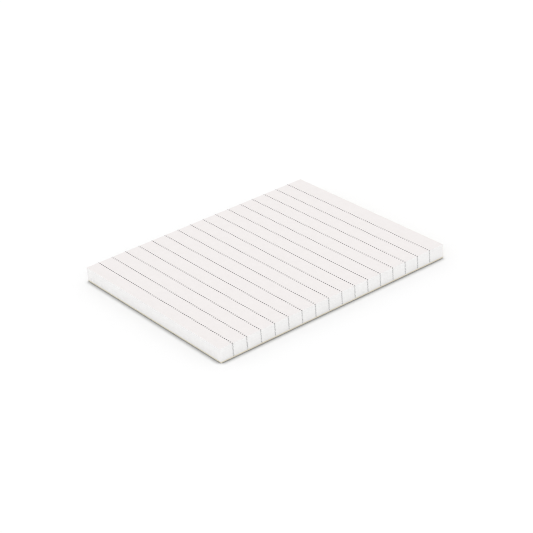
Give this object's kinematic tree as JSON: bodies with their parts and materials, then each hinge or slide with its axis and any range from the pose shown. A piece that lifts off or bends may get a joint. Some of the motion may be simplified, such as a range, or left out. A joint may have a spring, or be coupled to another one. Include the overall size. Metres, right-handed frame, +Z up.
{
  "type": "notepad",
  "caption": "Flat memo pad of white ruled sheets on a thin cream backing board, glued along one short edge, for writing notes and tearing them off.",
  "frame": {"origin": "middle of the underside of the whole pad, on the surface that it lies on", "axes": "+Z up out of the top sheet, +Y towards the glued head edge, +X along the ruled lines"},
  "size_m": [0.1016, 0.1272, 0.0069],
  "materials": {
    "paper": "uncoated white writing paper",
    "ruling_ink": "matt grey-black ink on paper",
    "pulpboard": "uncoated cream pulpboard",
    "padding_glue": "dried flexible glue film with a soft sheen"
  },
  "bodies": {
    "root": {"sheet_block": "paper", "ruled_lines": "ruling_ink", "backing_board": "pulpboard", "glue_binding": "padding_glue"}
  },
  "joints": []
}
